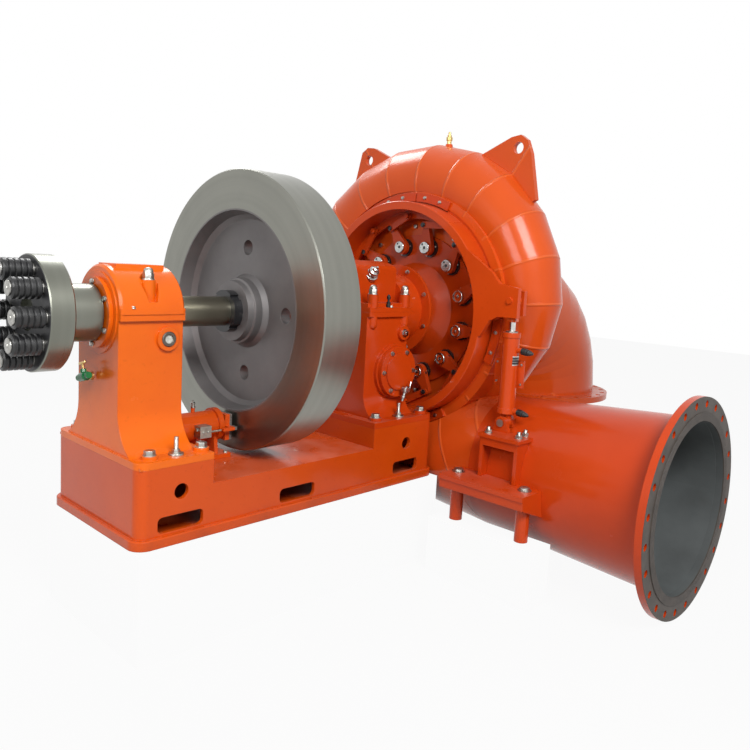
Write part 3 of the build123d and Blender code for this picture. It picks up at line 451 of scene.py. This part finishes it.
blackened = black.surface(
    Base_Color=black.mix(worn, (0.018, 0.018, 0.020, 1), (0.07, 0.068, 0.065, 1)), Metallic=0.35,
    Roughness=0.30 + worn * 0.2, Coat_Weight=0.25, Coat_Roughness=0.2,
    Normal=black.relief(black.noise(130.0, 3.0), 0.0004, 0.001))
dress(blackened, "flywheel_nut", "stem_bushes")


# Brake.
# A spring cylinder in gloss orange on its own bracket, with an orange shoe that carries the
# lining, a grease nipple and a plated air valve with its guide rod.
shoe = Finish("brake_shoe_enamel")
grain = shoe.ramp(shoe.noise(140.0, 3.0), 0.4, 0.7)
LINING = 0.012
pad = shoe.axes()[0] > (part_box("brake_shoe")[1].x - LINING)
worn_pad = shoe.mix(grain, (0.10, 0.085, 0.075, 1), (0.17, 0.15, 0.13, 1))
cloud = shoe.ramp(shoe.noise(6.0), 0.35, 0.7)
painted_shoe = shoe.mix(cloud, (0.66, 0.080, 0.004, 1), (0.56, 0.060, 0.003, 1))
dress(shoe.surface(Base_Color=shoe.mix(pad, painted_shoe, worn_pad),
                   Roughness=0.24 + pad * 0.4 + grain * 0.05,
                   Normal=shoe.relief(grain * pad, 0.0006, 0.002)), "brake_shoe")
dress(frame_enamel, "brake_cylinder")
galvanised = plated("galvanised", (0.48, 0.44, 0.38), 0.34)
dress(galvanised, "brake_valve")
BRAKE_PLATE_TOP = 0.223
brake_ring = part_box("brake_cylinder")[1].x - 0.032
fittings = bmesh.new()
lathe(fittings, stand((brake_ring - 0.120, 0, 0.430), FACE_UP),
      [(0, 0.012), (0.005, 0.012), (0.005, 0.008), (0.014, 0.008), (0.016, 0.010), (0.022, 0.010),
       (0.026, 0.005), (0.030, 0.005), (0.032, 0)], 12)
for x in (-0.068, 0.014):
    for y in (-0.060, 0.060):
        hex_bolt(fittings, stand((brake_ring + x, y, BRAKE_PLATE_TOP), FACE_UP), 0.010)
valve_low, valve_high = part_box("brake_valve")
for x in (valve_low.x + 0.016, valve_low.x + 0.040):
    hex_bolt(fittings, stand((x, valve_low.y, (valve_low.z + valve_high.z) / 2), FACE_NEAR), 0.006)
plug_place = (valve_low.x, valve_low.y + 0.020, valve_high.z - 0.014)
prism(fittings, stand(plug_place, FACE_COUPLING), 0, 0.010, 0.009, 6, 0.001)
piece(fittings, "brake_fittings", zinc, "frame")


# Fittings of the rear pedestal.
# A blackened grease nipple on the split flange, a plated hexagon plug in its boss and a plated
# thermometer on the cap. All three are screwed in.
chrome = plated("chrome", (0.58, 0.58, 0.57), 0.08)
nipple = bmesh.new()
lathe(nipple, stand((0.580, -0.222, SPLIT_FLANGE_TOP), FACE_UP),
      [(0, 0.011), (0.026, 0.011), (0.028, 0.007), (0.040, 0.006), (0.042, 0.010), (0.056, 0.010),
       (0.062, 0.005), (0.067, 0)], 14)
piece(nipple, "grease_nipple", blackened, "frame")
plug = bmesh.new()
boss = stand((0.706, -0.231, 0.745), FACE_NEAR)
prism(plug, boss, 0, 0.004, 0.021, 24, 0.001)
prism(plug, boss, 0.004, 0.016, 0.0165, 6, 0.002)
prism(plug, boss, 0.016, 0.020, 0.009, 16, 0.001)
probe = stand((0.556, -0.112, 1.036), (-0.20, -0.80, 0.56))
prism(plug, probe, -0.020, 0.008, 0.036, 28, 0.002)
prism(plug, probe, 0.008, 0.024, 0.031, 6, 0.003)
lathe(plug, probe, [(0.024, 0.020), (0.028, 0.026), (0.040, 0.026), (0.046, 0.016), (0.058, 0.014),
                    (0.062, 0.006), (0.074, 0.005), (0.074, 0)], 24)
piece(plug, "plug_and_thermometer", chrome, "frame")


# Drain cock of the rear pedestal.
# A small bright valve of plated brass with a lever and a short outlet. It is screwed into the
# inspection cover's rim.
spout = bmesh.new()
oil_low, oil_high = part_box("rear_oil_cock")
oil = Vector((oil_low.x, oil_low.y, oil_high.z)) + Vector((0.019, 0.019, -0.019))
lathe(spout, stand(oil + Vector((0, 0.018, 0)), FACE_NEAR),
      [(0, 0), (0, 0.011), (0.006, 0.011), (0.006, 0.018), (0.030, 0.019), (0.034, 0.013),
       (0.040, 0.012), (0.040, 0)], 20)
prism(spout, stand(oil, FACE_COUPLING), -0.024, 0.026, 0.012, 6, 0.002)
lathe(spout, stand(oil, (-0.35, 0, -0.94)),
      [(0.010, 0.010), (0.030, 0.010), (0.032, 0.013), (0.046, 0.013), (0.048, 0.009), (0.062, 0.008),
       (0.062, 0)], 16)
prism(spout, stand(oil + Vector((0.026, -0.004, 0)), (0.25, 0, 0.97)), 0, 0.040, 0.005, 10, 0.002)
oil_cock = piece(spout, "oil_drain_cock", chrome, "frame")
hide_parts("rear_oil_cock")


# Spiral case, draft tube and their feet.
# Steel plate sections welded at mitred joints round the guide vanes, then filled and sprayed.
# The weld beads show through the enamel as ridges, with a painted highlight in lighter orange along
# them.
MITRE, SPIRAL_END, SPIRAL_INSIDE = radians(16.5), radians(151), 0.62
shell = Finish("case_enamel")
_, y, z = shell.axes()
up = z - AXIS_Z
turn = (y * -1).math('ARCTAN2', up)
away = (y * y + up * up) ** 0.5
off_joint = ((turn + pi) / MITRE).math('PINGPONG', 0.5) * away * MITRE
spiral_part = (turn < SPIRAL_END) * (away > SPIRAL_INSIDE)
wander = shell.noise(40.0, 3.0)
bead_and_highlight = (1 - shell.ramp(off_joint + wander * 0.004, 0.005, 0.011)) * spiral_part
cloud = shell.ramp(shell.noise(1.3, 4.0), 0.34, 0.66)
colour = shell.mix(cloud, (0.62, 0.080, 0.007, 1), (0.54, 0.064, 0.006, 1))
# Painted highlight: a lighter orange along the mitred joints, where the seams catch light.
colour = shell.mix(bead_and_highlight * 0.25, colour, (0.85, 0.20, 0.05, 1))
dust = shell.ramp(shell.facing_up(), 0.6, 1.0) * shell.ramp(shell.noise(3.0, 5.0), 0.40, 0.70)
colour = shell.mix(dust * 0.18, colour, (0.60, 0.42, 0.34, 1))
beaten, peel = shell.noise(3.2, 3.0), shell.noise(150.0)
case_enamel = shell.surface(
    Base_Color=colour, Roughness=0.17 + shell.noise(6.0, 5.0) * 0.15 + dust * 0.2,
    Coat_Weight=0.15 - dust * 0.1, Coat_Roughness=0.05, Specular_IOR_Level=0.22,
    Normal=shell.relief(peel * 0.05 + beaten * 0.9 + bead_and_highlight * 0.9, 0.003))
dress(case_enamel, "spiral_case", "case_inlet", "lifting_lugs", "draft_cone", "draft_elbow")
# The head cover, keepers, servo stand and case foot take that darker copy too, as painted shade.
dress(shaded_turbine_enamel, "head_cover", "ring_keepers", "servo_stand", "case_foot")


# Inlet pipe and its flange.
# A steel plate cone with a turned flange, sprayed orange outside. The inside has grey primer, and
# the flange's face and its sealing grooves are left dark grey.
PIPE_END, PIPE_LENGTH, END_RADIUS, NECK_RADIUS, PIPE_SKIN = -1.563, 0.963, 0.410, 0.352, 0.006
FLANGE_FACE, GASKET_RADIUS = -1.5765, 0.4385
pipe = Finish("pipe_enamel")
x, y, z = pipe.axes()
pipe_low, pipe_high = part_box("inlet_pipe")
beside, above = x - (pipe_low.x + pipe_high.x) / 2, z - (pipe_low.z + pipe_high.z) / 2
from_pipe = (beside * beside + above * above) ** 0.5
outer = (y - PIPE_END) * ((NECK_RADIUS - END_RADIUS) / PIPE_LENGTH) + END_RADIUS
inside = from_pipe < (outer - PIPE_SKIN)
end_face = y < FLANGE_FACE
cloud = pipe.ramp(pipe.noise(1.5, 4.0), 0.35, 0.66)
paint = pipe.mix(cloud, (0.56, 0.054, 0.005, 1), (0.48, 0.043, 0.004, 1))
streak = pipe.ramp(pipe.noise(4.0, 5.0), 0.35, 0.7)
primer = pipe.mix(streak, (0.105, 0.115, 0.115, 1), (0.075, 0.080, 0.080, 1))
blotch = pipe.ramp(pipe.noise(14.0, 4.0), 0.35, 0.7)
grey_face = pipe.mix(blotch, (0.085, 0.070, 0.060, 1), (0.055, 0.047, 0.041, 1))
bare = inside | end_face
grooves = (from_pipe * 2600.0).math('SINE') * end_face * (from_pipe < GASKET_RADIUS)
pipe_enamel = pipe.surface(
    Base_Color=pipe.mix(end_face, pipe.mix(inside, paint, primer), grey_face),
    Roughness=0.18 + pipe.noise(6.0, 5.0) * 0.14 + bare * 0.30, Coat_Weight=0.15 - bare * 0.15,
    Coat_Roughness=0.05, Specular_IOR_Level=0.22,
    Normal=pipe.relief(pipe.noise(150.0) * 0.06 + pipe.noise(5.0) * 0.8 + grooves * 0.25, 0.002, 0.002))
dress(pipe_enamel, "inlet_pipe", "inlet_flange")


# Joint bolts of the draft tube.
# Zinc plated hexagon bolts and nuts through the flanges of the cone, behind the case. They hold
# it to the case and to the elbow.
CASE_CIRCLE, ELBOW_CIRCLE, JOINT_FLANGE = 0.402, 0.420, 0.024
joint_bolts = bmesh.new()
cone_low, cone_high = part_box("draft_cone")
for k in range(16):
    place = round_shaft(CASE_CIRCLE, 22.5 * k + 11, cone_low.x + JOINT_FLANGE)
    hex_bolt(joint_bolts, stand(place, FACE_TURBINE), 0.018)
for k in range(20):
    place = round_shaft(ELBOW_CIRCLE, 18 * k + 9, cone_high.x - JOINT_FLANGE)
    hex_bolt(joint_bolts, stand(place, FACE_COUPLING), 0.017)
    place = round_shaft(ELBOW_CIRCLE, 18 * k + 9, cone_high.x + JOINT_FLANGE)
    hex_bolt(joint_bolts, stand(place, FACE_TURBINE), 0.017, 0.012)
piece(joint_bolts, "draft_joint_bolts", zinc, "frame")


# Regulating ring and its keepers.
# A rolled and welded ring with a driving arm, sprayed orange. Keepers bolted to the case hold
# it in, and twelve pins on its inner edge take the links.
ring_enamel = enamel("ring_enamel", (0.60, 0.062, 0.005), (0.52, 0.050, 0.004), 0.8, 0.003)
dress(ring_enamel, "regulating_ring")
VANES, VANE_STEP, FIRST_VANE, FIRST_RING_PIN = 12, 30, 15, 26.5
KEEPER_CIRCLE, COVER_CIRCLE, COVER_DEPTH = 0.621, 0.468, 0.098
RING_PIN_CIRCLE, RING_PIN_DEPTH = 0.520, 0.107
gear_bolts = bmesh.new()
keeper_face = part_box("ring_keepers")[0].x
for turn in (-24, -16, -6, 9, 19, 96.6, 106.5, 155, 170, 185, 245, 260, 275):
    hex_bolt(gear_bolts, stand(round_shaft(KEEPER_CIRCLE, turn, keeper_face), FACE_COUPLING), 0.010)
for k in range(10):
    place = stand(round_shaft(COVER_CIRCLE, 36 * k - 4.4, keeper_face + COVER_DEPTH), FACE_COUPLING)
    prism(gear_bolts, place, 0, 0.014, 0.012, 20, 0.002)
piece(gear_bolts, "keeper_and_cover_bolts", zinc, "frame")

ring_pins = bmesh.new()
pin_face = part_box("regulating_ring")[0].x + RING_PIN_DEPTH
for k in range(VANES):
    turn = FIRST_RING_PIN + VANE_STEP * k
    lathe(ring_pins, stand(round_shaft(RING_PIN_CIRCLE, turn, pin_face), FACE_COUPLING),
          [(-0.004, 0), (-0.004, 0.015), (0.001, 0.015), (0.002, 0.013), (0.002, 0.0095),
           (0.0005, 0.009), (0.0005, 0.0075), (0.003, 0.007), (0.0035, 0)], 20)
piece(ring_pins, "ring_pin_heads", ring_enamel, "gate_ring")


# Guide vane levers, their caps and their links.
# Each vane's stem ends in a chromed cap clamped in an orange lever, and a link ties the lever
# to the ring. The stem turns in a blackened bush screwed to the head cover.
gear_enamel = enamel("gear_enamel", (0.54, 0.056, 0.006), (0.45, 0.042, 0.005), 0.5, 0.002)
STEM_CIRCLE, STEM_DEPTH, CLAMP_CIRCLE, CLAMP_DEPTH, CLAMP_SIDE = 0.358, 0.017, 0.373, 0.025, 0.038
TIP_CIRCLE, TIP_TURN, SCREW_CIRCLE = 0.478, 4.6, 0.044
for k in range(VANES):
    name = "%02d" % (k + 1)
    dress(gear_enamel, "guide_vane_" + name, "link_" + name)
    angle = FIRST_VANE + VANE_STEP * k
    lever_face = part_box("guide_vane_" + name)[0].x
    cap_face = lever_face + STEM_DEPTH
    cap, pin_head = bmesh.new(), bmesh.new()
    place = stand(round_shaft(STEM_CIRCLE, angle, cap_face), FACE_COUPLING)
    if cos(radians(angle)) > 0.5:
        lathe(cap, place, [(-0.004, 0), (-0.004, 0.033), (0.002, 0.033), (0.004, 0.031),
                           (0.0042, 0)], 32)
        for offset, radius in (((0.003, 0.000), 0.0085), ((-0.012, 0.018), 0.0060)):
            prism(pin_head, place @ Matrix.Translation((*offset, 0)), 0.003, 0.0046, radius, 14)
    else:
        lathe(cap, place, [(-0.003, 0.022), (-0.003, 0.033), (0.005, 0.033), (0.007, 0.031),
                           (0.007, 0.027), (0.001, 0.024), (-0.003, 0.022)], 32)
        prism(cap, place, -0.002, 0.004, 0.011, 6, 0.001)
        prism(cap, place, 0.004, 0.009, 0.006, 14, 0.001)
    outward = round_shaft(1.0, angle, 0) - round_shaft(0.0, angle, 0)
    sideways = Vector((0, outward.z, -outward.y))
    clamp = round_shaft(CLAMP_CIRCLE, angle, cap_face + CLAMP_DEPTH) + sideways * CLAMP_SIDE
    hex_bolt(cap, stand(clamp, sideways), 0.010)
    piece(cap, "stem_cap_" + name, chrome, "vane_" + name)
    tip = stand(round_shaft(TIP_CIRCLE, angle - TIP_TURN, lever_face), FACE_COUPLING)
    lathe(pin_head, tip, [(-0.002, 0), (-0.002, 0.014), (0.001, 0.014), (0.002, 0.012), (0.002, 0)], 18)
    piece(pin_head, "lever_pin_" + name, blackened, "vane_" + name)

bush_screws = bmesh.new()
bush_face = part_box("stem_bushes")[0].x
for k in range(VANES):
    for j in range(3):
        turn = radians(50 + 120 * j)
        from_stem = Vector((0, SCREW_CIRCLE * cos(turn), SCREW_CIRCLE * sin(turn)))
        place = round_shaft(STEM_CIRCLE, FIRST_VANE + VANE_STEP * k, bush_face) + from_stem
        prism(bush_screws, stand(place, FACE_COUPLING), 0, 0.003, 0.0052, 14, 0.001)
piece(bush_screws, "bush_screws", zinc, "frame")


# Servo cylinder.
# A painted steel barrel with a chromed rod, black rubber plugs in its two hose ports and a
# saddle plate screwed to its back. It swings on a pin in the stand's ears.
RAM_EYE_LOW = 0.846
ram = Finish("servo_rod")
painted = ram.axes()[2] > RAM_EYE_LOW
cloud = ram.ramp(ram.noise(30.0, 4.0), 0.35, 0.7)
ram_metal = ram.mix(cloud, (0.78, 0.77, 0.75, 1), (0.58, 0.57, 0.55, 1))
dress(ram.surface(Base_Color=ram.mix(painted, ram_metal, (0.66, 0.085, 0.010, 1)),
                  Metallic=1 - painted, Coat_Weight=painted * 0.7,
                  Roughness=0.10 + cloud * 0.08 + painted * 0.1,
                  Normal=ram.relief(ram.noise(90.0), 0.0002, 0.002)), "servo_rod")
dress(ring_enamel, "servo_cylinder")
servo_low, servo_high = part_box("servo_cylinder")
SERVO_X, SERVO_Y, PORT_FACE, SADDLE_FACE, FOOT_PIN = 0.899, -0.755, -0.816, 0.925, 0.030
plugs = bmesh.new()
for z in (0.412, 0.712):
    lathe(plugs, stand((SERVO_X, PORT_FACE, z), (0, -0.99, -0.12)),
          [(0, 0), (0, 0.012), (0.006, 0.012), (0.006, 0.017), (0.030, 0.017), (0.033, 0.013),
           (0.036, 0.015), (0.042, 0.015), (0.045, 0.012), (0.052, 0.012), (0.066, 0.005),
           (0.068, 0)], 24)
piece(plugs, "port_plugs", buffer_rubber, "servo_barrel")
saddle = bmesh.new()
saddle_place = Matrix.Translation((SADDLE_FACE + 0.004, -0.738, 0.593))
bmesh.ops.create_cube(saddle, size=1.0, matrix=saddle_place @ Matrix.Diagonal((0.008, 0.168, 0.136, 1)))
bmesh.ops.bevel(saddle, geom=saddle.edges[:], offset=0.002, segments=2, profile=0.5, affect='EDGES',
                material=-1)
piece(saddle, "servo_saddle", ring_enamel, "servo_barrel")
wiper = bmesh.new()
lathe(wiper, stand((SERVO_X, SERVO_Y, servo_high.z), FACE_UP),
      [(-0.001, 0.0165), (-0.001, 0.030), (0.005, 0.030), (0.007, 0.027), (0.007, 0.0165),
       (-0.001, 0.0165)], 24)
for y in (-0.668, -0.808):
    for z in (0.545, 0.641):
        prism(wiper, stand((SADDLE_FACE, y, z), FACE_COUPLING), 0, 0.005, 0.006, 6, 0.001)
for x in (-0.047, 0.047):
    pin_end = stand((SERVO_X + x, SERVO_Y, servo_low.z + FOOT_PIN), FACE_TURBINE)
    prism(wiper, pin_end, -0.003, 0.003, 0.019, 20, 0.001)
piece(wiper, "servo_wiper_and_screws", zinc, "servo_barrel")


# Type plate of the servo cylinder.
# A thin black anodised sheet bent round the barrel and glued on, with a bare aluminium border and
# bare ruled lines.
PLATE_LOW, PLATE_HIGH, PLATE_BORDER, RULE_PITCH, RULE_LINE = 0.638, 0.684, 0.004, 0.0060, 0.0048
PLATE_BACK, PLATE_FACE, PLATE_START, PLATE_TURN = 0.0405, 0.0420, radians(-130), radians(75)
anodised = Finish("type_plate")
height = anodised.axes()[2]
border = ((height < PLATE_LOW + PLATE_BORDER) + (height > PLATE_HIGH - PLATE_BORDER)) > 0.5
rule = ((height - (PLATE_LOW + PLATE_HIGH) / 2).math('PINGPONG', RULE_PITCH) > RULE_LINE) * 0.6
bare = border | rule
plate_finish = anodised.surface(
    Base_Color=anodised.mix(bare, (0.02, 0.02, 0.022, 1), (0.62, 0.62, 0.60, 1)), Metallic=bare,
    Roughness=0.34 + anodised.noise(80.0) * 0.1)
plate = bmesh.new()
first_end = Matrix.Translation((SERVO_X, SERVO_Y, 0)) @ Matrix.Rotation(PLATE_START, 4, 'Z')
corners = [plate.verts.new(first_end @ Vector((radius, 0, height))) for radius, height in (
    (PLATE_BACK, PLATE_LOW), (PLATE_FACE, PLATE_LOW),
    (PLATE_FACE, PLATE_HIGH), (PLATE_BACK, PLATE_HIGH))]
outline = [plate.edges.new(pair) for pair in zip(corners, corners[1:] + corners[:1])]
bmesh.ops.spin(plate, geom=corners + outline, cent=(SERVO_X, SERVO_Y, 0), axis=(0, 0, 1),
               dvec=(0, 0, 0), angle=PLATE_TURN, steps=15)
bmesh.ops.holes_fill(plate, edges=plate.edges[:], sides=4)
piece(plate, "type_plate", plate_finish, "servo_barrel")


# Bolts of the servo stand and the case foot.
# Large zinc plated bolts hold the stand's top plate, and domed ones with wide washers go through
# the foot's beam into its posts.
POST_X, STAND_UNDER_BARREL = 0.746, 0.016
foot_bolts = bmesh.new()
stand_top = servo_low.z - STAND_UNDER_BARREL
beam_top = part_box("case_foot")[1].z
for x, y in ((0.800, -0.728), (0.822, -0.886), (0.895, -0.876)):
    hex_bolt(foot_bolts, stand((x, y, stand_top), FACE_UP), 0.020, 0.016)
for y in (-0.605, -0.985):
    lathe(foot_bolts, stand((POST_X, y, beam_top), FACE_UP),
          [(0, 0), (0, 0.032), (0.005, 0.032), (0.006, 0.026), (0.014, 0.024), (0.018, 0.018),
           (0.019, 0)], 24)
piece(foot_bolts, "stand_bolts", zinc, "frame")


# Air valve.
# A turned brass valve, screwed into an orange socket that is welded on top of the case. It lets
# the air out while the case fills.
socket_mesh, valve_mesh = bmesh.new(), bmesh.new()
vent_low, vent_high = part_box("air_valve")
vent = stand(((vent_low.x + vent_high.x) / 2, (vent_low.y + vent_high.y) / 2, vent_high.z), FACE_UP)
lathe(socket_mesh, vent, [(-0.121, 0.036), (-0.112, 0.034), (-0.074, 0.020), (-0.068, 0.019),
                          (-0.068, 0)], 28)
lathe(valve_mesh, vent, [(-0.068, 0.013), (-0.050, 0.013), (-0.048, 0.017), (-0.030, 0.018),
                         (-0.027, 0.012), (-0.018, 0.012), (-0.016, 0.008), (-0.004, 0.008),
                         (0, 0.006), (0, 0)], 24)
air_socket = piece(socket_mesh, "air_valve_socket", case_enamel, "frame")
piece(valve_mesh, "air_valve_body", brass, "frame")
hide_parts("air_valve")


# Studio.
# A pale level floor at the feet of the case and a pale plinth under the base frame, with soft
# light from large panels. What the camera sees past them is white.
def background_rays(finish):
    """1 for the rays that see the background: the camera's, those off metal and those in glass."""
    seen, off_metal, in_glass = [
        finish.node("ShaderNodeLightPath", {}, out=kind)
        for kind in ("Is Camera Ray", "Is Glossy Ray", "Is Transmission Ray")]
    return seen | off_metal | in_glass


scene = bpy.context.scene
scene.view_settings.view_transform = 'Standard'
paper = Finish("studio_paper")
matt = paper.node("ShaderNodeBsdfDiffuse", {}, Color=(0.42, 0.42, 0.42, 1))
glow = paper.node("ShaderNodeEmission", {}, Color=(1, 1, 1, 1), Strength=1.0)
paper.node("ShaderNodeOutputMaterial", {},
           paper.node("ShaderNodeMixShader", {}, background_rays(paper) * 0.94, matt, glow))
for name, lengths, place in (
        ("floor", (28.0, 28.0, 0.02), (0.8, 0, -0.442)),
        ("plinth", (1.70, 0.78, 0.43), (0, 0, -0.2175)),
        ("post_block", (0.16, 0.60, 0.28), (POST_X, -0.795, -0.2925))):
    block = bmesh.new()
    middle = Matrix.Translation(place)
    bmesh.ops.create_cube(block, size=1.0, matrix=middle @ Matrix.Diagonal((*lengths, 1)))
    data = bpy.data.meshes.new(name)
    block.to_mesh(data)
    block.free()
    data.materials.append(paper.material)
    made = bpy.data.objects.new(name, data)
    scene.collection.objects.link(made)

ROOM, WHITE = 0.24, 1.0
sky = Finish("studio", bpy.data.worlds)
strength = sky.node("ShaderNodeMapRange", {}, background_rays(sky), 0.0, 1.0, ROOM, WHITE)
sky.node("ShaderNodeOutputWorld", {},
         sky.node("ShaderNodeBackground", {}, Color=(1, 1, 1, 1), Strength=strength))
scene.world = sky.material

for name, place, aim, size, power in (
        ("key", (-1.8, -4.9, 4.3), (-0.1, 0, 0.7), (3.0, 2.0), 390),
        ("fill", (-5.6, -1.4, 3.0), (-0.2, 0, 0.7), (2.5, 2.0), 130),
        ("rim", (1.5, 3.8, 5.0), (0.8, 0, 0.9), (2.5, 1.6), 150)):
    lamp = bpy.data.lights.new(name, 'AREA')
    lamp.shape = 'RECTANGLE'
    lamp.size, lamp.size_y = size
    lamp.energy = power
    made = bpy.data.objects.new(name, lamp)
    made.location = place
    made.rotation_euler = (Vector(aim) - Vector(place)).to_track_quat('-Z', 'Y').to_euler()
    scene.collection.objects.link(made)

SENSOR, FRAME_PIXELS, FOCAL_PIXELS = 36.0, 750.0, 718.47
camera_data = bpy.data.cameras.new("camera")
camera_data.sensor_width = SENSOR
camera_data.lens = SENSOR * FOCAL_PIXELS / FRAME_PIXELS
camera_data.shift_x = 1.0 / FRAME_PIXELS
camera_data.shift_y = -27.0 / FRAME_PIXELS
camera_data.clip_end = 60.0
turn, dip, roll = radians(46.315), radians(6.62), radians(-3.04)
ahead = Vector((sin(turn) * cos(dip), cos(turn) * cos(dip), -sin(dip)))
level = Vector((cos(turn), -sin(turn), 0))
down = ahead.cross(level)
right = level * cos(roll) + down * sin(roll)
up = level * sin(roll) - down * cos(roll)
EYE = Vector((-2.084, -2.682, 1.089))
camera = bpy.data.objects.new("camera", camera_data)
camera.matrix_world = Matrix.Translation(EYE) @ Matrix((right, up, -ahead)).transposed().to_4x4()
scene.collection.objects.link(camera)
scene.camera = camera
